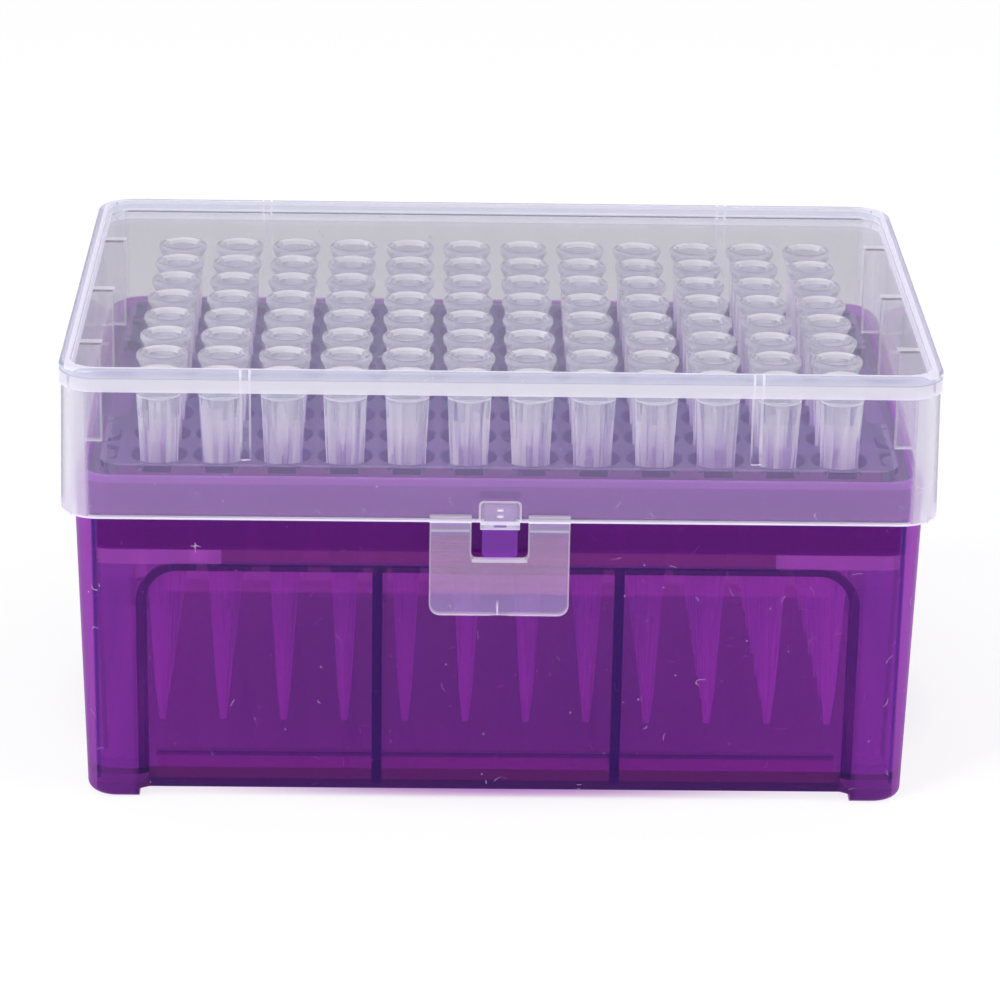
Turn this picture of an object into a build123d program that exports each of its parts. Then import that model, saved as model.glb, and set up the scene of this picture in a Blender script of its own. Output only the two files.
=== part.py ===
from build123d import *
import os
from math import atan, cos, degrees, radians, sin, tan

# Hinged box for 96 pipette tips: base, drop-in rack, clear lid with a front latch flap, and the tips.
# Millimetres. +Z up, front (latch side) at -Y. The origin is the centre of the plane the feet stand on.
# The box is sized from the tips outwards: grid, deck, brim, base, lid; and from the floor upwards.

# --- grid of tips (the 9 mm pitch of 96-well laboratory ware) ---
pitch = 9.0
columns = 12
rows = 8

# --- tip ---
tip_length = 53.1
lip_spacing = 1.4  # between the lips of two neighbours
lip_round = 0.4
lip_height = 0.8  # down to the end of the lip's upright side
lip_width = 1.1  # ring round the mouth
mouth_round = 0.3
collar_length = 1.85
collar_inset = 0.52  # collar inside the lip, on the radius
collar_step = 0.08
upper_length = 31.3  # from the lip down to the change of taper
upper_radius = 1.9
point_length = 5.0
point_radius = 1.0
end_radius = 0.48
end_bore = 0.25
tip_wall = 0.5

# --- rack ---
deck_rise = 0.5  # deck above the rim of the base
deck_thickness = 1.5
tip_stand = 11.2  # lip of a tip above the deck
plateau_end = 4.0  # raised deck beyond the grid, at each end
plateau_side = 1.0  # the same at the front and rear
plateau_corner = 4.0
brim_drop = 1.7  # from the deck down to the brim
brim_end = 1.87  # width of the brim at each end
brim_side = 2.25
rack_fit = 0.25  # clearance of the rack in the base, each side
rack_wall = 1.3
skirt_depth = 12.2  # from the deck down
apron_depth = 14.4  # middle part of the long skirts, which stands on the base's ledge
apron_inset = 20.95  # from the end of the base to the apron
notch_length = 32.0  # finger notch in each short side
notch_depth = 2.9
notch_corner = 2.0
sleeve_spacing = 1.3  # between two sleeves
sleeve_wall = 0.95
sleeve_length = 13.4  # from the deck down
mouth_land = 0.3  # deck left between two bevelled mouths
mouth_depth = 0.9  # of the bevel
seat_height = 1.2
seat_fit = 0.05  # clearance between a tip and its seat, on the radius
pad_length = 12.0  # four shallow marks at the ends of the deck
pad_width = 1.8
pad_depth = 0.2

# --- base ---
base_wall = 1.6
base_corner = 5.8  # outside corner radius at the rim
draft = 1.45  # degrees, base and rack narrow downwards
rim_bevel = 0.7
foot_lift = 1.5  # underside of the base above the feet plane
foot_round = 1.3
floor_top = 3.65
tip_clearance = 5.9  # from the floor up to the tips
floor_bank = 6.0  # width of the sloped border of the floor
floor_rise = 0.6  # its height at the walls
panel_over = 0.6  # upper edge of the sunk panels above the ledge
panel_margin = 9.1  # from the side of the base to the panel
panel_recess = 0.9
panel_edge = 1.5  # width of the sloped edge round a panel
panel_corner = 6.0
stiffener_spread = 35.2  # between the two upright ribs inside each long side
stiffener_width = 1.3
stiffener_depth = 1.6

# --- lid ---
lid_fit_end = 0.38  # clearance beside the base at its ends, at the lid's open edge
lid_fit_side = 0.65  # the same at the front and rear
lid_overlap = 5.63  # how far the lid reaches below the rim of the base
lid_wall = 1.3
lid_corner = 5.8
lid_draft = 1.1  # degrees, the lid narrows upwards
headroom = 2.1  # from the tips up to the top plate
plate_thickness = 1.5
rim_above_plate = 1.5
rim_width = 1.5
band_height = 3.25  # proud band round the top
band_proud = 0.25
band_round = 0.7
front_rib_spread = 73.0
front_rib_width = 1.45
front_rib_depth = 1.0
front_rib_length = 10.7
rim_rib_width = 1.9
rim_rib_depth = 0.6
guide_spacing = 25.3  # upright plates inside each short wall, down to the base's rim
guide_fit = 0.2  # beside the raised deck
guide_thickness = 1.35
guide_gap = 0.15  # above the rim

# --- catch, latch flap and its fold; heights are from the lid's open edge ---
catch_width = 5.1
catch_neck = 4.0  # width of its upper part, inside the lid's pocket
catch_depth = 1.8  # how far it stands out of the base
catch_drop = 5.5  # its lower face
shoulder_drop = 1.4  # where the neck begins
crest_drop = 0.1  # where its upper slope begins
catch_rise = 2.2
catch_corner = 0.7
pocket_fit = 0.3
pocket_wall = 0.55
pocket_drop = 0.95
pocket_rise = 3.05
pocket_corner = 0.5
flap_width = 20.2
flap_thickness = 1.1
flap_length = 14.3
flap_corner = 1.6
flap_gap = 0.8  # between the lid's open edge and the flap
window_fit = 1.55  # beside the catch
window_gap = 0.3  # under the catch
window_corner = 0.8
fold_bead = 0.75  # radius of the rolled edge that the flap folds on
fold_proud = 0.45  # roll in front of the flap
fold_gap = 0.06
pad_above_strap = 1.4  # pad above each strap, on the lid
pad_proud = 0.3
grip_height = 3.2
grip_flare = 0.4
thumb_radius = 4.4
thumb_depth = 0.3

# --- snap hinge at the rear ---
hinge_spread = 72.0  # between the middles of the two hinges
hinge_width = 9.0
hinge_out = 1.9  # axis behind the wall of the base
hinge_drop = 1.95  # axis below the lid's open edge
barrel_radius = 1.35
pin_radius = 0.75
pin_fit = 0.09
pin_reach = 1.5
lug_thickness = 2.0
lug_gap = 0.25  # beside the barrel
lug_radius = 1.6
lug_root = 4.4  # height of a lug at the wall
leaf_rise = 2.4  # of a leaf on the lid's rear wall

# --- plan, from the grid outwards ---
slope = tan(radians(draft))
lid_slope = tan(radians(lid_draft))
grid_x = [pitch * (column - (columns - 1) / 2) for column in range(columns)]
grid_y = [pitch * (row - (rows - 1) / 2) for row in range(rows)]
plateau_length = columns * pitch + 2 * plateau_end
plateau_depth = rows * pitch + 2 * plateau_side
rack_inset = base_wall + rack_fit
base_length = plateau_length + 2 * (brim_end + rack_inset)  # outside, at the rim
base_depth = plateau_depth + 2 * (brim_side + rack_inset)
lid_length = base_length + 2 * (lid_fit_end + lid_wall)  # outside, at the open edge
lid_depth = base_depth + 2 * (lid_fit_side + lid_wall)
apron_length = base_length - 2 * apron_inset

# --- heights, from the floor upwards ---
tip_top = floor_top + tip_clearance + tip_length
deck_top = tip_top - tip_stand
deck_bottom = deck_top - deck_thickness
brim_top = deck_top - brim_drop
rim_height = deck_top - deck_rise
skirt_bottom = deck_top - skirt_depth
sleeve_bottom = deck_top - sleeve_length
ledge = deck_top - apron_depth  # step inside the walls, which carries the rack
panel_top = ledge + panel_over
lid_bottom = rim_height - lid_overlap
plate_bottom = tip_top + headroom
plate_top = plate_bottom + plate_thickness
lid_top = plate_top + rim_above_plate
band_bottom = lid_top - band_height
catch_bottom = lid_bottom - catch_drop
catch_shoulder = lid_bottom - shoulder_drop
catch_crest = lid_bottom - crest_drop
catch_top = lid_bottom + catch_rise
pocket_bottom = lid_bottom - pocket_drop
pocket_top = lid_bottom + pocket_rise
flap_top = lid_bottom - flap_gap
flap_bottom = lid_bottom - flap_length

# --- tip and sleeve radii ---
lip_radius = (pitch - lip_spacing) / 2
mouth_radius = lip_radius - lip_width
collar_radius = lip_radius - collar_inset
body_radius = collar_radius - collar_step
sleeve_radius = (pitch - sleeve_spacing) / 2
sleeve_bore = sleeve_radius - sleeve_wall
bevel_radius = (pitch - mouth_land) / 2


def base_half(size, height):
    """Half of an outside size of the base at a height."""
    return size / 2 - slope * (rim_height - height)


def lid_half(size, height):
    """Half of an outside size of the lid at a height."""
    return size / 2 - lid_slope * (height - lid_bottom)


def base_block(inset, low, high):
    """Drafted block, parallel to the outside of the base and inset from it."""
    half_x = base_half(base_length, low) - inset
    half_y = base_half(base_depth, low) - inset
    corner = max(base_corner - slope * (rim_height - low) - inset, 0.4)
    outline = RectangleRounded(2 * half_x, 2 * half_y, corner)
    return extrude(Plane.XY.offset(low) * outline, amount=high - low, taper=-draft)


def lid_block(inset, low, high):
    """Drafted block, parallel to the outside of the lid and inset from it."""
    half_x = lid_half(lid_length, low) - inset
    half_y = lid_half(lid_depth, low) - inset
    corner = max(lid_corner - lid_slope * (low - lid_bottom) - inset, 0.8)
    outline = RectangleRounded(2 * half_x, 2 * half_y, corner)
    return extrude(Plane.XY.offset(low) * outline, amount=high - low, taper=lid_draft)


def box(x, y, z):
    """Box from three (low, high) pairs."""
    return Pos((x[0] + x[1]) / 2, (y[0] + y[1]) / 2, (z[0] + z[1]) / 2) * Box(
        x[1] - x[0], y[1] - y[0], z[1] - z[0]
    )


def slab(points, width, middle=0.0):
    """Solid of an outline in (Y, Z), carried across X about a middle."""
    outline = make_face(Polyline(*[(middle, y, z) for y, z in points], close=True))
    return extrude(outline, amount=width / 2, dir=(1, 0, 0), both=True)


def rod(radius, width, y, z, middle=0.0):
    """Cylinder along X."""
    return Pos(middle, y, z) * Rot(0, 90, 0) * Cylinder(radius, width)


# --- catch, fold and hinge places, shared by the pieces that meet there ---
catch_reach = base_half(base_depth, catch_bottom) + catch_depth
pocket_reach = catch_reach + pocket_fit + pocket_wall
pocket_half = catch_neck / 2 + pocket_fit + pocket_wall
window_width = catch_width + 2 * window_fit
flap_outer = lid_half(lid_depth, lid_bottom) - 0.05
flap_inner = flap_outer - flap_thickness
fold_y = -(flap_outer + fold_proud - fold_bead)
fold_z = lid_bottom - fold_bead - fold_gap
hinge_z = lid_bottom - hinge_drop
hinge_y = base_half(base_depth, hinge_z) + hinge_out
hinge_places = [-hinge_spread / 2, hinge_spread / 2]
barrel_width = hinge_width - 2 * (lug_thickness + lug_gap)


def panel_tool(span, size, turn):
    """Sinks one side's panel: a shield with rounded top corners and a sloped edge, open below."""
    low = -4.0
    high = panel_top - panel_edge
    middle = (low + high) / 2
    shield = Rectangle(span - 2 * (panel_margin + panel_edge), high - low)
    shield = fillet(shield.vertices().group_by(Axis.Y)[-1], panel_corner - panel_edge)
    floor = Plane(
        origin=(0, -(base_half(size, middle) - panel_recess), middle),
        x_dir=(1, 0, 0),
        z_dir=(0, -cos(radians(draft)), -sin(radians(draft))),
    )
    angle = degrees(atan(panel_edge / panel_recess))
    return Rot(0, 0, turn) * extrude(floor * shield, amount=1.6 * panel_recess, taper=-angle)


def backing(span, turn):
    """Space behind one panel where the wall steps inwards; its top is the ledge."""
    width = span - 2 * panel_margin - panel_edge
    shield = Rectangle(width, ledge)
    shield = fillet(shield.vertices().group_by(Axis.Y)[-1], panel_corner - panel_edge)
    prism = extrude(Plane.XZ * Pos(0, ledge / 2) * shield, amount=base_length)
    return Rot(0, 0, turn) * prism


def floor_border():
    """Sloped border of the floor, mitred at its corners."""
    inset = base_wall + panel_recess
    half_x = base_half(base_length, floor_top) - inset
    half_y = base_half(base_depth, floor_top) - inset
    lower = Plane.XY.offset(floor_top) * Rectangle(
        2 * (half_x - floor_bank), 2 * (half_y - floor_bank)
    )
    upper = Plane.XY.offset(floor_top + 2 * floor_rise) * Rectangle(
        2 * (half_x + floor_bank), 2 * (half_y + floor_bank)
    )
    x_pair = (-base_length, base_length)
    y_pair = (-base_depth, base_depth)
    around = box(x_pair, y_pair, (floor_top, floor_top + 2 * floor_rise))
    return around - loft([lower, upper], ruled=True)


def stiffener(x, side):
    """Upright rib inside a long side, from the floor to the ledge."""
    inset = base_wall + panel_recess
    outer = base_block(inset - 0.3, floor_top - 0.5, ledge)
    inner = base_block(inset + stiffener_depth, floor_top - 1, ledge + 1)
    reach = (0, base_depth) if side > 0 else (-base_depth, 0)
    strip = box((x - stiffener_width / 2, x + stiffener_width / 2), reach, (floor_top - 0.5, ledge))
    return strip & (outer - inner)


def lug(x):
    """Base's half of a hinge: two cheeks with pins that point at each other."""
    wall = base_half(base_depth, hinge_z - lug_root) - base_wall / 2
    top = hinge_z + lug_radius
    cheeks = None
    for side in (-1, 1):
        middle = x + side * (barrel_width / 2 + lug_gap + lug_thickness / 2)
        cheek = slab(
            [
                (wall, top),
                (hinge_y, top),
                (hinge_y + lug_radius * 0.7071, hinge_z - lug_radius * 0.7071),
                (wall, top - lug_root - lug_radius),
            ],
            lug_thickness,
            middle,
        )
        cheek += rod(lug_radius, lug_thickness, hinge_y, hinge_z, middle)
        length = pin_reach + lug_gap + 0.4
        start = x + side * (barrel_width / 2 - pin_reach + length / 2)
        cheek += rod(pin_radius, length, hinge_y, hinge_z, start)
        cheeks = cheek if cheeks is None else cheeks + cheek
    return cheeks


def catch():
    """Wedge on the front of the base that the flap's window snaps under."""
    root = -(base_half(base_depth, catch_bottom) - base_wall / 2)
    lower = slab(
        [
            (root, catch_bottom),
            (-catch_reach, catch_bottom),
            (-catch_reach, catch_shoulder),
            (root, catch_shoulder),
        ],
        catch_width,
    )
    height = catch_shoulder - catch_bottom
    front = Rectangle(catch_width, height)
    front = fillet(front.vertices().group_by(Axis.Y)[0], catch_corner)
    lower &= extrude(Plane.XZ * Pos(0, catch_bottom + height / 2) * front, amount=base_depth)
    upper = slab(
        [
            (root, catch_shoulder - 0.2),
            (-catch_reach, catch_shoulder - 0.2),
            (-catch_reach, catch_crest),
            (-(base_half(base_depth, catch_top)), catch_top),
            (root, catch_top),
        ],
        catch_neck,
    )
    return lower + upper


def base():
    """Tub with sunk panels, an inner ledge, corner feet, the catch and the hinge lugs."""
    body = base_block(0, 0, rim_height)
    body = fillet(body.edges().group_by(Axis.Z)[0], foot_round)
    body = chamfer(body.edges().group_by(Axis.Z)[-1], rim_bevel)
    sides = [(base_length, base_depth, 0), (base_length, base_depth, 180)]
    sides += [(base_depth, base_length, 90), (base_depth, base_length, 270)]
    for span, size, turn in sides:
        body -= panel_tool(span, size, turn)
    cavity = base_block(base_wall, floor_top, rim_height + 1)
    for span, size, turn in sides:
        cavity -= backing(span, turn)
    cavity += base_block(base_wall + panel_recess, floor_top, rim_height)
    cavity -= floor_border()
    body -= cavity
    foot_x = base_length / 2 - panel_margin
    foot_y = base_depth / 2 - panel_margin
    body -= box((-foot_x, foot_x), (-base_depth, base_depth), (-1, foot_lift))
    body -= box((-base_length, base_length), (-foot_y, foot_y), (-1, foot_lift))
    for side in (-1, 1):
        for x in (-stiffener_spread / 2, stiffener_spread / 2):
            body += stiffener(x, side)
    body += catch()
    for x in hinge_places:
        body += lug(x)
    return body


def plateau_outline(inset):
    """Outline of the raised deck, with a finger notch in each end."""
    outline = RectangleRounded(
        plateau_length - 2 * inset, plateau_depth - 2 * inset, plateau_corner - inset
    )
    notch = RectangleRounded(
        2 * (notch_depth + inset), notch_length + 2 * inset, notch_corner + inset / 2
    )
    for side in (-1, 1):
        outline -= Pos(side * plateau_length / 2, 0) * notch
    return outline


def tip_radius(height):
    """Outside radius of a tip between its collar and its change of taper."""
    top = tip_top - collar_length
    bottom = tip_top - upper_length
    share = (height - bottom) / (top - bottom)
    return upper_radius + share * (body_radius - upper_radius)


def rack():
    """Deck on a skirt, with a bevelled sleeve and an inner seat for each tip."""
    brim_bottom = brim_top - rack_wall
    body = base_block(rack_inset, skirt_bottom, brim_top)
    body -= base_block(rack_inset + rack_wall, skirt_bottom - 1, brim_bottom)
    body += extrude(Plane.XY.offset(brim_bottom) * plateau_outline(0), deck_top - brim_bottom)
    hollow = Plane.XY.offset(brim_bottom - 0.5) * plateau_outline(deck_thickness)
    body -= extrude(hollow, deck_bottom - brim_bottom + 0.5)
    apron = base_block(rack_inset, ledge, skirt_bottom)
    apron -= base_block(rack_inset + rack_wall, ledge - 1, skirt_bottom + 1)
    span = (-apron_length / 2, apron_length / 2)
    body += apron & box(span, (-base_depth, base_depth), (ledge - 1, skirt_bottom + 1))
    places = [Pos(x, y) for x in grid_x for y in grid_y]
    sleeve = Circle(sleeve_radius)
    rings = Sketch() + [place * sleeve for place in places]
    body += extrude(Plane.XY.offset(sleeve_bottom) * rings, deck_bottom - sleeve_bottom + 0.4)
    low = sleeve_bottom
    high = sleeve_bottom + seat_height
    bore = make_face(
        Polyline(
            (0, 0, low - 1),
            (tip_radius(high) + seat_fit, 0, low - 1),
            (tip_radius(high) + seat_fit, 0, high),
            (sleeve_bore, 0, high),
            (sleeve_bore, 0, deck_top - mouth_depth),
            (bevel_radius, 0, deck_top),
            (bevel_radius, 0, deck_top + 1),
            (0, 0, deck_top + 1),
            close=True,
        )
    )
    drill = revolve(bore, Axis.Z)
    body -= [Pos(x, y, 0) * drill for x in grid_x for y in grid_y]
    for side_x in (-1, 1):
        for side_y in (-1, 1):
            x = side_x * (plateau_length - 3.2) / 2
            y = side_y * (plateau_depth - pad_length - 6) / 2
            x_pair = (x - pad_width / 2, x + pad_width / 2)
            y_pair = (y - pad_length / 2, y + pad_length / 2)
            body -= box(x_pair, y_pair, (deck_top - pad_depth, deck_top + 1))
    return body


def tip():
    """One tip, turned: rounded lip, coned collar, two tapers, point and a bore right through."""
    z_collar = tip_top - collar_length
    z_upper = tip_top - upper_length
    z_end = tip_top - tip_length
    z_point = z_end + point_length
    lip = lip_radius - lip_round
    mouth = mouth_radius + mouth_round
    bend = 1 - sin(radians(45))
    outside = Polyline(
        (lip_radius, 0, tip_top - lip_round),
        (lip_radius, 0, tip_top - lip_height),
        (collar_radius, 0, z_collar),
        (body_radius, 0, z_collar),
        (upper_radius, 0, z_upper),
        (point_radius, 0, z_point),
        (end_radius, 0, z_end),
        (end_bore, 0, z_end),
        (upper_radius - tip_wall, 0, z_upper),
        (body_radius - tip_wall, 0, z_collar),
        (mouth_radius, 0, tip_top - mouth_round),
    )
    inner_round = ThreePointArc(
        (mouth_radius, 0, tip_top - mouth_round),
        (mouth_radius + bend * mouth_round, 0, tip_top - bend * mouth_round),
        (mouth, 0, tip_top),
    )
    ring = Line((mouth, 0, tip_top), (lip, 0, tip_top))
    outer_round = ThreePointArc(
        (lip, 0, tip_top),
        (lip_radius - bend * lip_round, 0, tip_top - bend * lip_round),
        (lip_radius, 0, tip_top - lip_round),
    )
    outline = make_face(Curve() + [outside, inner_round, ring, outer_round])
    return revolve(outline, Axis.Z)


def flap():
    """Latch flap: plate with a window under the catch, two straps and a flared grip."""
    grip_top = flap_bottom + grip_height
    plate = slab(
        [
            (-flap_inner, flap_top),
            (-flap_inner, grip_top),
            (-flap_inner - grip_flare, flap_bottom),
            (-flap_outer - grip_flare, flap_bottom),
            (-flap_outer, grip_top),
            (-flap_outer, flap_top),
        ],
        flap_width,
    )
    outline = Rectangle(flap_width, flap_top - flap_bottom)
    outline = fillet(outline.vertices().group_by(Axis.Y)[0], flap_corner)
    window_bottom = catch_bottom - window_gap
    opening = Rectangle(window_width, 2 * (flap_top - window_bottom))
    opening = fillet(opening.vertices(), window_corner)
    outline = Pos(0, (flap_top + flap_bottom) / 2) * outline - Pos(0, flap_top) * opening
    plate &= extrude(Plane.XZ * outline, amount=2 * lid_depth / 2 + 5)
    strap = (flap_width - window_width) / 2
    for side in (-1, 1):
        middle = side * (window_width + strap) / 2
        plate += rod(fold_bead, strap, fold_y, fold_z, middle)
    dish = Pos(0, -flap_outer - grip_flare - thumb_radius + thumb_depth, flap_bottom - 0.6)
    plate -= dish * Sphere(thumb_radius)
    return plate


def leaf(x):
    """Lid's half of a hinge: a bored barrel on a leaf that hangs from the rear wall."""
    wall = lid_half(lid_depth, lid_bottom)
    top = lid_bottom + leaf_rise
    shape = slab(
        [
            (hinge_y - barrel_radius * 0.6, hinge_z),
            (hinge_y + barrel_radius, hinge_z),
            (hinge_y + barrel_radius, lid_bottom - 0.4),
            (wall + 0.25, top),
            (wall - lid_wall / 2, top),
            (wall - lid_wall, lid_bottom),
        ],
        barrel_width,
        x,
    )
    shape += rod(barrel_radius, barrel_width, hinge_y, hinge_z, x)
    for side in (-1, 1):
        depth = pin_reach + 0.3
        start = x + side * (barrel_width / 2 - depth / 2 + 0.05)
        shape -= rod(pin_radius + pin_fit, depth + 0.1, hinge_y, hinge_z, start)
    return shape


def lid():
    """Clear cover: drafted walls, proud band and raised rim, inner ribs, pocket and leaves."""
    body = lid_block(0, lid_bottom, band_bottom + 0.2)
    band_x = lid_half(lid_length, band_bottom) + band_proud
    band_y = lid_half(lid_depth, band_bottom) + band_proud
    band = Plane.XY.offset(band_bottom) * RectangleRounded(2 * band_x, 2 * band_y, lid_corner - 0.3)
    band = extrude(band, band_height)
    band = fillet(band.edges().group_by(Axis.Z)[-1], band_round)
    body += band
    well = RectangleRounded(2 * (band_x - rim_width), 2 * (band_y - rim_width), lid_corner - rim_width)
    body -= extrude(Plane.XY.offset(plate_top) * well, rim_above_plate + 1)
    body -= lid_block(lid_wall, lid_bottom - 1, plate_bottom)
    inside = lid_block(lid_wall - 0.3, lid_bottom, plate_bottom + 0.3)
    liner = inside - lid_block(lid_wall + front_rib_depth, lid_bottom - 1, plate_bottom + 1)
    for side in (-1, 1):
        x = side * front_rib_spread / 2
        x_pair = (x - front_rib_width / 2, x + front_rib_width / 2)
        body += liner & box(x_pair, (-lid_depth, 0), (plate_bottom - front_rib_length, plate_bottom + 0.3))
        x_pair = (x - rim_rib_width / 2, x + rim_rib_width / 2)
        y_pair = (-(band_y - rim_width + 0.3), -(band_y - rim_width - rim_rib_depth))
        body += box(x_pair, y_pair, (plate_top - 0.2, lid_top - 0.2))
        for row in (-1, 0, 1):
            y = row * guide_spacing
            x_pair = sorted((side * (plateau_length / 2 + guide_fit), side * lid_length))
            y_pair = (y - guide_thickness / 2, y + guide_thickness / 2)
            guide = box(x_pair, y_pair, (rim_height + guide_gap, plate_bottom + 0.3))
            body += guide & inside
    pocket = slab(
        [
            (-lid_half(lid_depth, lid_bottom) + 0.6, pocket_bottom),
            (-pocket_reach, pocket_bottom),
            (-pocket_reach, pocket_top - 0.5),
            (-pocket_reach + 0.5, pocket_top),
            (-lid_half(lid_depth, lid_bottom) + 0.6, pocket_top),
        ],
        2 * pocket_half,
    )
    height = pocket_top - pocket_bottom
    front = Rectangle(2 * pocket_half, height)
    front = fillet(front.vertices().group_by(Axis.Y)[-1], pocket_corner)
    front = Plane.XZ * Pos(0, pocket_bottom + height / 2) * front
    body += pocket & extrude(front, amount=lid_depth)
    inner = pocket_half - pocket_wall
    y_pair = (-(catch_reach + pocket_fit), -(flap_inner - 2))
    body -= box((-inner, inner), y_pair, (pocket_bottom - 1, pocket_top - pocket_wall))
    strap = (flap_width - window_width) / 2
    wall = -lid_half(lid_depth, lid_bottom)
    for side in (-1, 1):
        body += slab(
            [
                (wall + 0.5, lid_bottom),
                (wall - pad_proud, lid_bottom),
                (wall - pad_proud, lid_bottom + pad_above_strap * 0.6),
                (wall + 0.1, lid_bottom + pad_above_strap),
                (wall + 0.5, lid_bottom + pad_above_strap),
            ],
            strap,
            side * (window_width + strap) / 2,
        )
    for x in hinge_places:
        body += leaf(x)
    return body


if __name__ == "__main__":
    os.makedirs("parts", exist_ok=True)
    export_step(base(), "parts/base.step")
    export_step(rack(), "parts/rack.step")
    export_step(lid(), "parts/lid.step")
    export_step(flap(), "parts/latch.step")
    one_tip = tip()
    for number, x in enumerate(grid_x, start=1):
        strip = Compound(children=[Pos(x, y, 0) * one_tip for y in grid_y])
        export_step(strip, f"parts/tips_column_{number:02d}.step")
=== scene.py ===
import bpy, math
from mathutils import Matrix, Vector


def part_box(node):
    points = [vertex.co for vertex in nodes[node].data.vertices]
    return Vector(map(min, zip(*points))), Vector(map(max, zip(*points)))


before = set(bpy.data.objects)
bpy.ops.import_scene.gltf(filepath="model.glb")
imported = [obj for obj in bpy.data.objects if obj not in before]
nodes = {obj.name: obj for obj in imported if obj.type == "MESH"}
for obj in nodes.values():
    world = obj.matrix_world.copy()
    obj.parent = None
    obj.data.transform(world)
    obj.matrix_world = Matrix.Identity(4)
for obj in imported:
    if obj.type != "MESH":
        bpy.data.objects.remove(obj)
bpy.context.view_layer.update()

# Box of pipette tips: a tinted base and rack, a clear lid with its latch flap, and natural tips, all moulded
# in see-through plastic. The CAD nodes are the whole object. Here they get their materials, and the scene its
# camera, floor and light.

scene = bpy.context.scene
scene.view_settings.view_transform = "Standard"
scene.cycles.max_bounces = 20  # the view goes through many thin walls
scene.cycles.transmission_bounces = 20
scene.cycles.diffuse_bounces = 3
scene.cycles.transparent_max_bounces = 64

# ---------------------------------------------------------------- camera, in metres and degrees
target = Vector((0.00082, 0.0, 0.0326))
distance = 0.63817
yaw = math.radians(1.18922)
pitch = math.radians(20.62188)  # looking down
roll = math.radians(0.977467)
forward = Vector((math.sin(yaw) * math.cos(pitch), math.cos(yaw) * math.cos(pitch), -math.sin(pitch)))
level = forward.cross(Vector((0, 0, 1))).normalized()
upright = level.cross(forward)
right = math.cos(roll) * level + math.sin(roll) * upright
up = math.cos(roll) * upright - math.sin(roll) * level
camera = bpy.data.objects.new("camera", bpy.data.cameras.new("camera"))
camera.data.sensor_width = 36.0
camera.data.lens = 148.8
camera.data.clip_start = 0.02
axes = Matrix((right, up, -forward)).transposed().to_4x4()
camera.matrix_world = Matrix.Translation(target - distance * forward) @ axes
scene.collection.objects.link(camera)
scene.camera = camera


# ---------------------------------------------------------------- nodes
def feed(tree, socket, value):
    """Links a node's output to a socket, or sets it to a constant. A colour comes without its alpha."""
    if isinstance(value, bpy.types.NodeSocket):
        tree.links.new(value, socket)
    elif socket.type == "RGBA":
        socket.default_value = (*value, 1)
    else:
        socket.default_value = value


def put(tree, kind, **values):
    """A new node, with its inputs and settings by name."""
    node = tree.nodes.new(kind)
    for key, value in values.items():
        if key in node.inputs.keys():
            feed(tree, node.inputs[key], value)
        else:
            setattr(node, key, value)
    return node


def put_in_order(tree, kind, values, **settings):
    """The first output of a new node, with its inputs in their order."""
    node = put(tree, kind, **settings)
    for socket, value in zip(node.inputs, values):
        feed(tree, socket, value)
    return node.outputs[0]


def math_node(tree, operation, *values):
    return put_in_order(tree, "ShaderNodeMath", values, operation=operation)


def mix_shader(tree, share, a, b):
    return put_in_order(tree, "ShaderNodeMixShader", (share, a, b))


def mix_color(tree, share, a, b):
    node = put(tree, "ShaderNodeMix", data_type="RGBA")
    for socket, value in zip((node.inputs[0], node.inputs[6], node.inputs[7]), (share, a, b)):
        feed(tree, socket, value)
    return node.outputs[2]


def mix_value(tree, share, a, b):
    node = put(tree, "ShaderNodeMix")
    for socket, value in zip((node.inputs[0], node.inputs[2], node.inputs[3]), (share, a, b)):
        feed(tree, socket, value)
    return node.outputs[0]


def split(tree, vector):
    return put(tree, "ShaderNodeSeparateXYZ", Vector=vector).outputs


def new_material(name):
    material = bpy.data.materials.new(name)
    material.use_nodes = True
    material.node_tree.nodes.clear()
    return material, material.node_tree


def object_coords(tree):
    """Object coordinates in millimetres."""
    coords = put(tree, "ShaderNodeTexCoord").outputs["Object"]
    return put(tree, "ShaderNodeMapping", Vector=coords, Scale=(1000, 1000, 1000)).outputs["Vector"]


# ---------------------------------------------------------------- fields, 1 in a place and 0 elsewhere
def both(tree, *fields):
    """1 where all the fields are 1."""
    out = fields[0]
    for field in fields[1:]:
        out = math_node(tree, "MULTIPLY", out, field)
    return out


def either(tree, *fields):
    """The highest of the fields."""
    out = fields[0]
    for field in fields[1:]:
        out = math_node(tree, "MAXIMUM", out, field)
    return out


def size_of(tree, value):
    return math_node(tree, "ABSOLUTE", value)


def away_from(tree, value, middle):
    """Distance of a value from a middle."""
    return size_of(tree, math_node(tree, "SUBTRACT", value, middle))


def within(tree, value, low, high, soft):
    """1 where a value lies between low and high, fading out over soft beyond them. A fade too narrow to be
    seen is a plain step half way, which renders much faster."""
    narrow = 0.12
    if soft <= narrow:
        return math_node(tree, "COMPARE", value, (low + high) / 2, (high - low + soft) / 2)
    up = put(tree, "ShaderNodeMapRange", Value=value, **{"From Min": low - soft, "From Max": low})
    span = {"From Min": high, "From Max": high + soft, "To Min": 1.0, "To Max": 0.0}
    down = put(tree, "ShaderNodeMapRange", Value=value, **span)
    return both(tree, up.outputs[0], down.outputs[0])


def zone(tree, *limits):
    """1 where every value lies within its limits, each given as (value, low, high, soft)."""
    return both(tree, *(within(tree, *limit) for limit in limits))


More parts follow.
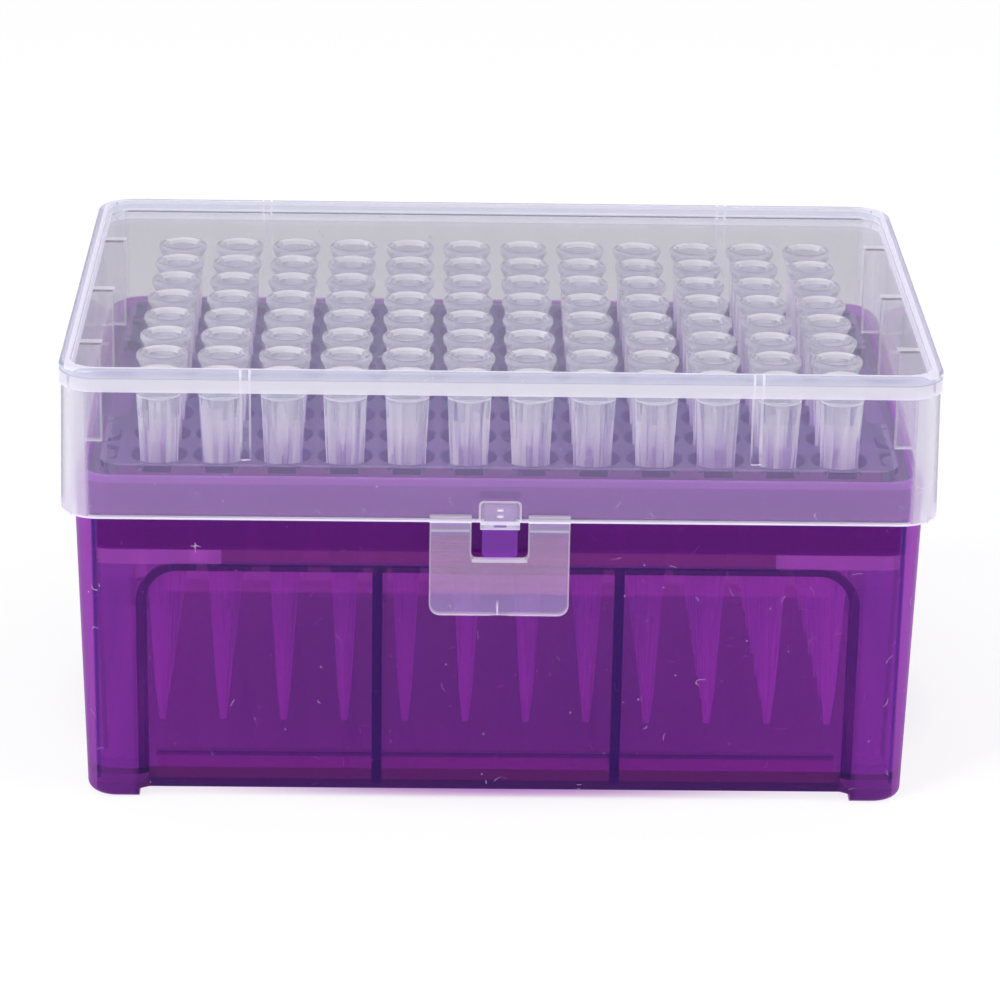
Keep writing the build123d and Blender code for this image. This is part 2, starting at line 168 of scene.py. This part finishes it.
def rounded(tree, u, v, low, high, corner):
    """Distance from the outline of a rounded rectangle in the (u, v) plane, negative inside it."""
    ends = []
    for value, a, b in ((u, low[0], high[0]), (v, low[1], high[1])):
        past = math_node(tree, "SUBTRACT", away_from(tree, value, (a + b) / 2), (b - a) / 2 - corner)
        past = math_node(tree, "MAXIMUM", past, 0.0)
        ends.append(math_node(tree, "MULTIPLY", past, past))
    return math_node(tree, "SUBTRACT", math_node(tree, "SQRT", math_node(tree, "ADD", *ends)), corner)


def in_cell(tree, value):
    """Offset along x or y from the axis of the nearest tip. The tips stand in the middles of the cells."""
    cells = math_node(tree, "DIVIDE", math_node(tree, "ADD", value, 100 * cell), cell)
    part = math_node(tree, "FRACT", cells)
    return math_node(tree, "MULTIPLY", math_node(tree, "SUBTRACT", part, 0.5), cell)


def from_axis(tree, x, y):
    """Distance from the axis of the nearest tip."""
    ends = [math_node(tree, "POWER", size_of(tree, in_cell(tree, value)), 2.0) for value in (x, y)]
    return math_node(tree, "SQRT", math_node(tree, "ADD", *ends))


def specks(tree, coords, spacing, size, density):
    """Small specks: a share (density) of the cells of a Voronoi pattern holds one, of a size in cells."""
    cells = put(tree, "ShaderNodeTexVoronoi", Vector=coords, Scale=1.0 / spacing)
    chance = put(tree, "ShaderNodeSeparateColor", Color=cells.outputs["Color"]).outputs[0]
    near = math_node(tree, "LESS_THAN", cells.outputs["Distance"], size)
    return both(tree, near, math_node(tree, "LESS_THAN", chance, density))


def fibres(tree, coords):
    """Short curly threads: pieces of one contour of a noise pattern."""
    curl = put(tree, "ShaderNodeTexNoise", Vector=coords, Scale=0.4, Detail=0.0)
    contour = within(tree, curl.outputs["Fac"], 0.497, 0.503, 0.008)
    return both(tree, contour, specks(tree, coords, spacing=4.0, size=0.2, density=0.6))


# ---------------------------------------------------------------- see-through plastic
# a milky white, for the plastic's haze and also for painted highlights
milk_and_highlight = (0.93, 0.91, 1.0)
dust_tint = (0.80, 0.70, 0.85)
glass_tint = (0.99, 0.99, 0.99)
from_behind = 0.5  # share of the milky body's light that comes through from behind


def plastic(name, marks, body, share, lamp_tint, rough=0.02, soak=None, wear=0.3, ior=1.49):
    """Moulded plastic that bends the view, with a share of milky body on its faces. The tinted kind takes a
    colour that deepens with the wall (soak: the colour, and how fast per metre). Marks are places with their
    own colour and share: thick sections, edges, creases, and also painted light: painted highlights on edges
    and rims, painted light from nearby parts, and painted shade in hollows and behind parts. Wear is how much
    the dust shows. Rays from lamps go straight on with a tint of their own, because haze passes light on and
    doesn't stop it."""
    material, tree = new_material(name)
    coords = object_coords(tree)
    flow = put(tree, "ShaderNodeTexNoise", Vector=coords, Scale=0.05, Detail=1.0)
    deeper = tuple(0.88 * end for end in body)
    colour = mix_color(tree, flow.outputs["Fac"], body, deeper)
    for place, tint, amount in marks(tree, *split(tree, coords)):
        colour = mix_color(tree, place, colour, tint)
        share = mix_value(tree, place, share, amount)
    if wear > 0:
        grains = specks(tree, coords, spacing=2.6, size=0.05, density=0.4)
        dust = either(tree, grains, fibres(tree, coords))
        dust = math_node(tree, "MULTIPLY", dust, wear)
        colour = mix_color(tree, dust, colour, dust_tint)
        share = mix_value(tree, dust, share, 1.0)
    front_lit = put(tree, "ShaderNodeBsdfDiffuse", Color=colour)
    back_lit = put(tree, "ShaderNodeBsdfTranslucent", Color=colour)
    milky = mix_shader(tree, from_behind, front_lit.outputs[0], back_lit.outputs[0])
    glass = put(tree, "ShaderNodeBsdfGlass", Color=glass_tint, Roughness=rough, IOR=ior)
    seen = mix_shader(tree, share, glass.outputs[0], milky)
    passed = put(tree, "ShaderNodeBsdfTransparent", Color=lamp_tint)
    to_lamp = put(tree, "ShaderNodeLightPath").outputs["Is Shadow Ray"]
    surface = mix_shader(tree, to_lamp, seen, passed.outputs[0])
    end = put(tree, "ShaderNodeOutputMaterial", Surface=surface)
    if soak:
        tint, density = soak
        depth = put(tree, "ShaderNodeVolumeAbsorption", Color=tint, Density=density)
        feed(tree, end.inputs["Volume"], depth.outputs[0])
    return material


# ---------------------------------------------------------------- places on the object, in millimetres
far = 100.0  # a limit beyond the object
cell = 9.0  # pitch of the tips
lid_edge = 45.32  # open edge of the lid's walls
lid_top = 1000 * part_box("lid")[1].z
deck = 1000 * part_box("rack")[1].z
tip_top = 1000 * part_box("tips_column_01")[1].z


# Each function below lists one material's marks as (place, colour, share), later ones over earlier ones.
# Wide and deep are the distances from the middle of the box along its length and its depth.
def base_marks(tree, x, y, z):
    wide, deep = size_of(tree, x), size_of(tree, y)
    geometry = put(tree, "ShaderNodeNewGeometry")
    flat = either(tree, *(size_of(tree, end) for end in split(tree, geometry.outputs["Normal"])))
    panel_end = 50.0  # half the length of the sunk panels
    foot_line, panel_low, ledge_line, rim_line = 2.9, 6.7, 39.8, 45.2
    long_wall = (deep, 36.0, far, 0.1)
    # upwards: the border over the feet, darker partly for the thick bottom and partly as painted shade, the
    # wall and the edge under the panels, the edge in painted shade, painted light showing through behind
    # them, the ledge that carries the rack with its paler ends, the wall in front of the rack in painted
    # shade, and the rim with painted light on it
    underline = zone(tree, (z, 1.0, foot_line, 0.1), (wide, 0, 51.0, 0.1), (deep, 37.0, far, 0.1))
    skirt = zone(tree, (z, foot_line, panel_low, 0.1), (wide, 0, panel_end, 0.1))
    painted_shade_low_edge = zone(tree, (z, panel_low, 7.3, 0.15), (wide, 0, panel_end, 0.1))
    painted_light_behind = zone(tree, (z, 33.0, 36.3, 0.15), (wide, 0, 48.5, 0.2), long_wall)
    shelf = zone(tree, (z, 38.0, ledge_line, 0.12), (wide, 0, 40.2, 0.1), long_wall)
    patch = zone(tree, (z, 37.6, ledge_line, 0.1), (wide, 40.2, 58.0, 0.1), long_wall)
    painted_shade_upper = zone(tree, (z, 39.9, rim_line, 0.1), (wide, 0, 58.0, 0.1), long_wall)
    rim = within(tree, z, 45.6, far, 0.3)
    # the rounded corners, with the line where each meets the flat wall and a painted highlight strip beside
    # it
    by_corner = (deep, 33.0, far, 3.0)
    column = zone(tree, by_corner, (wide, 53.5, far, 0.6))
    seam = zone(tree, (wide, 58.3, 58.7, 0.15), (z, 3.0, 45.0, 0.1))
    painted_highlight_strip = zone(tree, by_corner, (wide, 59.0, far, 0.2))
    # the sloped borders of the sunk panels, darkened as painted shade, and the upright ribs behind them
    off_corner = either(tree, within(tree, wide, 0, 54.5, 0.5), within(tree, deep, 0, 34.0, 0.5))
    painted_shade_slope = both(tree, zone(tree, (flat, 0.5, 0.93, 0.02), (z, 4.0, 40.0, 0.5)), off_corner)
    rib = zone(tree, (wide, 16.9, 18.3, 0.05), (deep, 30.0, 40.2, 0.1), (z, 2.4, 37.0, 0.1))
    # the catch, and the shade over it
    catch = zone(tree, (wide, 0, 2.6, 0.05), (y, -far, -41.2, 0.1), (z, 39.0, 48.0, 0.1))
    shade = zone(tree, (wide, 0, 2.9, 0.1), (y, -far, -40.95, 0.05), (z, 48.5, 49.5, 0.1))
    return (
        (skirt, (0.50, 0.02, 0.62), 0.26),
        (painted_shade_low_edge, (0.10, 0.01, 0.30), 0.35),
        (underline, (0.12, 0.02, 0.26), 0.5),
        (painted_light_behind, (0.62, 0.06, 0.78), 0.32),
        (column, (0.53, 0.06, 0.82), 0.28),
        (painted_shade_upper, (0.22, 0.0, 0.34), 0.5),
        (shelf, (0.52, 0.04, 0.50), 0.3),
        (patch, (0.74, 0.15, 0.90), 0.36),
        (painted_highlight_strip, (0.68, 0.16, 0.88), 0.46),
        (seam, (0.10, 0.03, 0.45), 0.4),
        (rim, (0.64, 0.19, 0.90), 0.42),
        (painted_shade_slope, (0.05, 0.01, 0.16), 0.6),
        (rib, (0.07, 0.01, 0.24), 0.6),
        (catch, (0.55, 0.12, 1.0), 0.42),
        (shade, (0.36, 0.10, 0.56), 0.5),
    )


def rack_marks(tree, x, y, z):
    away = from_axis(tree, x, y)
    deck_end, deck_side = 58.0, 37.0  # half the raised deck's length and depth
    past_side = math_node(tree, "SUBTRACT", size_of(tree, y), deck_side)
    past_end = math_node(tree, "SUBTRACT", size_of(tree, x), deck_end)
    past = either(tree, past_side, past_end)  # distance outwards from the raised deck
    # the deck's top, with painted shade darker to the rear, its rounded edge with a painted highlight, and
    # the brim round it
    top = (z, deck - 1.5, deck + 1, 0.1)
    painted_shade_rear = zone(tree, top, (y, 0, far, 36.0))
    edge = zone(tree, top, (past, -0.8, -0.3, 0.3))
    brim = zone(tree, top, (past, -0.1, far, 0.1))
    # the bevelled mouths of the sleeves, darkened with painted shade, and the rims left between them
    mouth = zone(tree, (away, 2.8, 4.0, 0.1), (z, deck - 1.0, deck - 0.05, 0.05))
    rim = zone(tree, (away, 4.2, 4.5, 0.08), (z, deck - 0.3, deck + 0.1, 0.05))
    return (
        (painted_shade_rear, (0.10, 0.08, 0.38), 0.45),
        (edge, (0.50, 0.36, 0.72), 0.42),
        (brim, (0.56, 0.15, 0.72), 0.5),
        (mouth, (0.10, 0.01, 0.26), 0.75),
        (rim, (0.20, 0.14, 0.50), 0.5),
    )


def lid_marks(tree, x, y, z):
    wide, deep = size_of(tree, x), size_of(tree, y)
    rim_end, rim_side = 61.76, 41.43  # half the length and depth of the top plate inside its rim
    past_end = math_node(tree, "SUBTRACT", wide, rim_end)
    past_side = math_node(tree, "SUBTRACT", deep, rim_side)
    past = either(tree, past_end, past_side)  # distance outwards from the rim round the top plate
    outer = either(tree, within(tree, wide, 61.9, far, 0.1), within(tree, deep, 41.55, far, 0.1))
    # the outline and corners of the walls, their open edge with a painted highlight, the proud band round the
    # top, the rim over it with its crest as a painted highlight, and the line where the rim meets the top
    # plate, also a painted highlight
    band_low = lid_top - 3.3
    rim_low = lid_top - 1.35
    facing = put(tree, "ShaderNodeLayerWeight", Blend=0.3)
    outline = math_node(tree, "POWER", facing.outputs["Facing"], 4.0)
    corner = zone(tree, (wide, 59.5, far, 0.8), (deep, 39.3, far, 0.8))
    edge = both(tree, within(tree, z, lid_edge - 0.2, lid_edge + 0.22, 0.08), outer)
    plate = both(tree, within(tree, z, band_low, rim_low, 0.1), outer)
    brow = within(tree, z, rim_low, far, 0.05)
    well = zone(tree, (z, lid_top - 1.7, lid_top - 1.3, 0.05), (past, -0.5, 0, 0.2))
    crest = zone(tree, (z, lid_top - 0.5, far, 0.1), (past, -1.0, 0.5, 0.15))
    # the ribs in the long walls with painted highlights along their edges, and their ends at the band, also
    # painted highlights
    rib_x = 36.5
    from_rib = away_from(tree, wide, rib_x)
    rib_place = ((wide, 35.7, 37.3, 0.04), (deep, 40.3, 41.6, 0.1), (z, 57.0, 65.0, 3.0))
    rib = zone(tree, *rib_place)
    rib_edge = zone(tree, *rib_place, (from_rib, 0.5, 1.0, 0.08))
    notch = zone(tree, (past, 0.1, far, 0.05), (z, band_low, far, 0.1), (from_rib, 0.5, 0.8, 0.06))
    # the guide plates inside the end walls, one in the middle and one to each side, with painted highlights
    # on their edges and tops
    guide_spacing = 25.3
    from_guide = away_from(tree, away_from(tree, deep, guide_spacing / 2), guide_spacing / 2)
    guide_place = ((from_guide, -1.0, 0.72, 0.04), (wide, 57.0, 61.3, 0.1), (z, 51.0, 64.9, 0.1))
    guide = zone(tree, *guide_place)
    guide_ends = either(tree, within(tree, wide, 57.0, 58.45, 0.08), within(tree, z, 50.0, 51.35, 0.08))
    guide_edge = both(tree, guide, guide_ends)
    guide_top = zone(tree, (from_guide, -1.0, 0.8, 0.1), (wide, 58.0, 62.0, 0.1), (z, 66.0, 66.5, 0.05))
    # the pocket over the catch with its outline as a painted highlight and two painted glints on its front,
    # and the pads that the flap's straps turn on
    front = (y, -far, -42.9, 0.05)
    pocket_half, pocket_low, pocket_top, pocket_corner = 2.85, lid_edge - 0.95, lid_edge + 3.05, 0.5
    pocket_width = (wide, 0, 2.9, 0.1)
    frame_line = rounded(tree, x, z, (-pocket_half, pocket_low), (pocket_half, pocket_top), pocket_corner)
    pocket = zone(tree, (frame_line, -0.02, 0.22, 0.05), front, (wide, 0, 3.2, 0.1))
    hood = zone(tree, (z, 45.2, 48.4, 0.1), pocket_width, front)
    lip = zone(tree, (z, 44.3, 45.2, 0.1), pocket_width, front)
    slot = zone(tree, (z, 44.75, 45.05, 0.06), (wide, 0, 0.85, 0.1), front)
    glints = either(tree, within(tree, z, 47.25, 47.4, 0.15), within(tree, z, 46.3, 46.45, 0.15))
    shine = both(tree, glints, zone(tree, (wide, 0, 0.25, 0.4), front))
    pad = zone(tree, (wide, 4.0, 10.2, 0.05), (z, lid_edge, lid_edge + 1.5, 0.1), (y, -far, -43.1, 0.05))
    return (
        (outline, milk_and_highlight, 0.6),
        (corner, milk_and_highlight, 0.4),
        (brow, (0.77, 0.78, 0.95), 0.45),
        (plate, milk_and_highlight, 0.82),
        (guide, milk_and_highlight, 0.12),
        (guide_edge, milk_and_highlight, 0.3),
        (guide_top, milk_and_highlight, 0.5),
        (rib, milk_and_highlight, 0.2),
        (rib_edge, milk_and_highlight, 0.6),
        (crest, milk_and_highlight, 0.85),
        (well, milk_and_highlight, 0.5),
        (notch, milk_and_highlight, 0.9),
        (pad, milk_and_highlight, 0.35),
        (hood, milk_and_highlight, 0.22),
        (lip, milk_and_highlight, 0.45),
        (slot, (0.35, 0.25, 0.60), 0.5),
        (shine, (1.0, 0.98, 1.0), 0.8),
        (pocket, milk_and_highlight, 0.6),
        (edge, milk_and_highlight, 0.85),
    )


def flap_marks(tree, x, y, z):
    wide = size_of(tree, x)
    flap_half, flap_low, flap_top, flap_corner = 10.1, 31.08, 46.5, 1.6
    window_half, window_low, window_top, window_corner = 4.1, 39.52, 49.0, 0.8
    flap_line = rounded(tree, x, z, (-flap_half, flap_low), (flap_half, flap_top), flap_corner)
    window_line = rounded(tree, x, z, (-window_half, window_low), (window_half, window_top), window_corner)
    # a wash of faint bands, the border and the window's outline as painted highlights on their rounded edges,
    # the window's sill as a painted highlight, the flared grip with its mould mark, and the roll at the fold
    # with the painted gleam on it
    bands = put(
        tree, "ShaderNodeTexWave", Vector=object_coords(tree), Scale=0.22, Distortion=0.6, Detail=1.0,
        bands_direction="Z")
    wash = math_node(tree, "MULTIPLY", bands.outputs["Fac"], 0.5)
    border = within(tree, flap_line, -0.16, 0.5, 0.06)
    window = within(tree, window_line, -0.1, 0.2, 0.08)
    sill = zone(tree, (z, 39.15, 39.6, 0.08), (wide, 0, 3.9, 0.2))
    grip = within(tree, z, 31.5, 34.2, 0.08)
    tick = zone(tree, (x, -0.3, -0.1, 0.06), (z, 31.0, 32.8, 0.2))
    roll = within(tree, z, 43.3, 46.0, 0.1)
    gleam = within(tree, z, 44.0, 44.2, 0.3)
    return (
        (wash, (0.90, 0.50, 0.98), 0.34),
        (grip, (0.62, 0.48, 0.92), 0.24),
        (roll, (0.60, 0.46, 0.80), 0.42),
        (gleam, (0.93, 0.98, 1.0), 0.48),
        (border, (0.95, 0.85, 1.0), 0.38),
        (window, milk_and_highlight, 0.35),
        (sill, milk_and_highlight, 0.7),
        (tick, milk_and_highlight, 0.6),
    )


def tip_marks(tree, x, y, z):
    away = from_axis(tree, x, y)
    # painted purple light from the rack near the deck and under it, painted light on them inside the rack
    # with painted highlights at their outlines there, and milky at their outlines
    painted_light_near_deck = within(tree, z, 0, 52.0, 5.0)
    painted_light_in_rack = within(tree, z, 0, 47.0, 2.0)
    facing = put(tree, "ShaderNodeLayerWeight", Blend=0.3).outputs["Facing"]
    outline = math_node(tree, "POWER", facing, 3.0)
    contour = zone(tree, (facing, 0.82, 2.0, 0.08), (z, tip_top - 1.9, far, 0.2))
    # long streaks down the bodies
    stretched = put(tree, "ShaderNodeCombineXYZ")
    for value, stretch, end in ((x, 0.9, "X"), (y, 0.9, "Y"), (z, 0.03, "Z")):
        feed(tree, stretched.inputs[end], math_node(tree, "MULTIPLY", value, stretch))
    flow = put(tree, "ShaderNodeTexNoise", Vector=stretched.outputs[0], Scale=1.0, Detail=1.0)
    streak = zone(tree, (flow.outputs["Fac"], 0.56, 1.0, 0.04), (z, 0, 60.0, 1.5))
    # the collar, the lip and the mouth, with painted shade in the bore, painted highlights on the lip's outer
    # edge and round the mouth, and a painted highlight arc at the back of the mouth
    ring = within(tree, z, tip_top - 2.0, tip_top - 1.75, 0.06)
    painted_shade_bore = zone(tree, (z, tip_top - 5.0, tip_top - 0.4, 0.3), (away, 0, 2.9, 0.1))
    lip = zone(tree, (z, tip_top - 0.55, far, 0.1), (away, 3.5, 4.5, 0.1))
    mouth = zone(tree, (z, tip_top - 0.3, far, 0.1), (away, 2.0, 2.95, 0.1))
    painted_highlight_arc = zone(tree, (z, tip_top - 0.7, far, 0.1), (away, 2.5, 3.25, 0.1), (in_cell(tree, y), 1.7, 4.0, 0.5))
    return (
        (painted_light_near_deck, (0.68, 0.44, 0.90), 0.22),
        (painted_light_in_rack, (0.95, 0.80, 1.0), 0.5),
        (streak, (0.97, 0.92, 1.0), 0.36),
        (outline, milk_and_highlight, 0.45),
        (painted_shade_bore, (0.36, 0.38, 0.56), 0.2),
        (lip, milk_and_highlight, 0.3),
        (mouth, milk_and_highlight, 0.45),
        (contour, (0.20, 0.18, 0.36), 0.4),
        (both(tree, outline, painted_light_in_rack), (1.0, 0.95, 1.0), 0.9),
        (painted_highlight_arc, (1.0, 0.99, 1.0), 0.9),
        (ring, milk_and_highlight, 0.6),
    )


# ---------------------------------------------------------------- the materials and what they go on
tinted = plastic(
    "purple_polypropylene", base_marks, body=(0.58, 0.03, 0.88), share=0.16, lamp_tint=(0.90, 0.80, 0.92),
    soak=((0.76, 0.04, 0.80), 860), wear=0.8, ior=1.4)
tinted_rack = plastic(
    "purple_rack", rack_marks, body=(0.34, 0.14, 0.62), share=0.42, lamp_tint=(0.90, 0.84, 0.92),
    rough=0.05, soak=((0.70, 0.05, 0.80), 900), wear=0, ior=1.4)
clear = plastic(
    "clear_polypropylene", lid_marks, body=(0.80, 0.76, 0.96), share=0.07, lamp_tint=(0.95, 0.95, 0.96),
    rough=0.01)
clear_flap = plastic(
    "clear_flap", flap_marks, body=(0.94, 0.68, 1.0), share=0.24, lamp_tint=(0.94, 0.92, 0.95))
natural = plastic(
    "natural_polypropylene", tip_marks, body=(0.86, 0.87, 1.0), share=0.07, lamp_tint=(0.96, 0.96, 0.97),
    wear=0)

dressed = {"base": tinted, "rack": tinted_rack, "lid": clear, "latch": clear_flap}
for name in nodes:
    slots = nodes[name].data.materials
    slots.clear()
    slots.append(dressed.get(name, natural))

# ---------------------------------------------------------------- floor
# The camera sees it mostly as lit white, except under and close round the box, where it keeps its shadow.
# Through the plastic, and mirrored in it, it is greyer, as in a room.
floor_colour = (0.92, 0.92, 0.92)
floor_through_box = (0.64, 0.64, 0.66)
lit_share = 0.8
lit_through_box = 0.15  # of that share
box_half = (63, 43)  # half the box's length and depth, mm
shadow_end, clear_start = 0.68, 1.15  # from the middle of the box, in those halves
material, tree = new_material("floor")
path = put(tree, "ShaderNodeLightPath")
indirect = either(tree, path.outputs["Is Glossy Ray"], path.outputs["Is Transmission Ray"])
faint = math_node(tree, "MULTIPLY", indirect, lit_through_box)
seen = either(tree, path.outputs["Is Camera Ray"], faint)
diffuse = put(tree, "ShaderNodeBsdfDiffuse", Color=mix_color(tree, indirect, floor_colour, floor_through_box))
lit = put(tree, "ShaderNodeEmission", Strength=1.0)
per_half = (1 / box_half[0], 1 / box_half[1], 0)
place = put_in_order(tree, "ShaderNodeVectorMath", (object_coords(tree), per_half), operation="MULTIPLY")
halves = put(tree, "ShaderNodeVectorMath", operation="LENGTH")
feed(tree, halves.inputs[0], place)
clear_of_box = put(
    tree, "ShaderNodeMapRange", interpolation_type="SMOOTHSTEP", Value=halves.outputs["Value"],
    **{"From Min": shadow_end, "From Max": clear_start})
share = both(tree, seen, lit_share, clear_of_box.outputs[0])
surface = mix_shader(tree, share, diffuse.outputs[0], lit.outputs[0])
put(tree, "ShaderNodeOutputMaterial", Surface=surface)
bpy.ops.mesh.primitive_plane_add(size=6.0, location=(0, 0, -0.0001))
floor = bpy.context.object
floor.name = "floor"
floor.data.materials.append(material)

# ---------------------------------------------------------------- world, white only to the camera
world = bpy.data.worlds.new("world")
scene.world = world
world.use_nodes = True
tree = world.node_tree
tree.nodes.clear()
path = put(tree, "ShaderNodeLightPath")
# what lights the box, what its surfaces mirror, what shows through them, and what the camera sees
sky, mirrored, through, backdrop = (
    put(tree, "ShaderNodeBackground", Color=(1, 1, 1), Strength=strength).outputs[0]
    for strength in (0.75, 0.18, 0.45, 1.0)
)
shown = mix_shader(tree, path.outputs["Is Glossy Ray"], sky, mirrored)
shown = mix_shader(tree, path.outputs["Is Transmission Ray"], shown, through)
shown = mix_shader(tree, path.outputs["Is Camera Ray"], shown, backdrop)
put(tree, "ShaderNodeOutputWorld", Surface=shown)


# ---------------------------------------------------------------- lamps, in metres and watts
middle_of_box = Vector((0, 0, 0.03))


def lamp(name, place, side, watts, mirrored):
    data = bpy.data.lights.new(name, "AREA")
    data.shape = "RECTANGLE"
    data.size = side
    data.size_y = side
    data.energy = watts
    lamp_object = bpy.data.objects.new(name, data)
    lamp_object.location = place
    lamp_object.rotation_euler = (middle_of_box - Vector(place)).to_track_quat("-Z", "Y").to_euler()
    lamp_object.visible_glossy = mirrored
    scene.collection.objects.link(lamp_object)


lamp("key", (-0.5, -0.5, 0.9), side=0.3, watts=6.2, mirrored=True)
lamp("fill", (0.8, -0.3, 0.6), side=0.6, watts=3.6, mirrored=False)
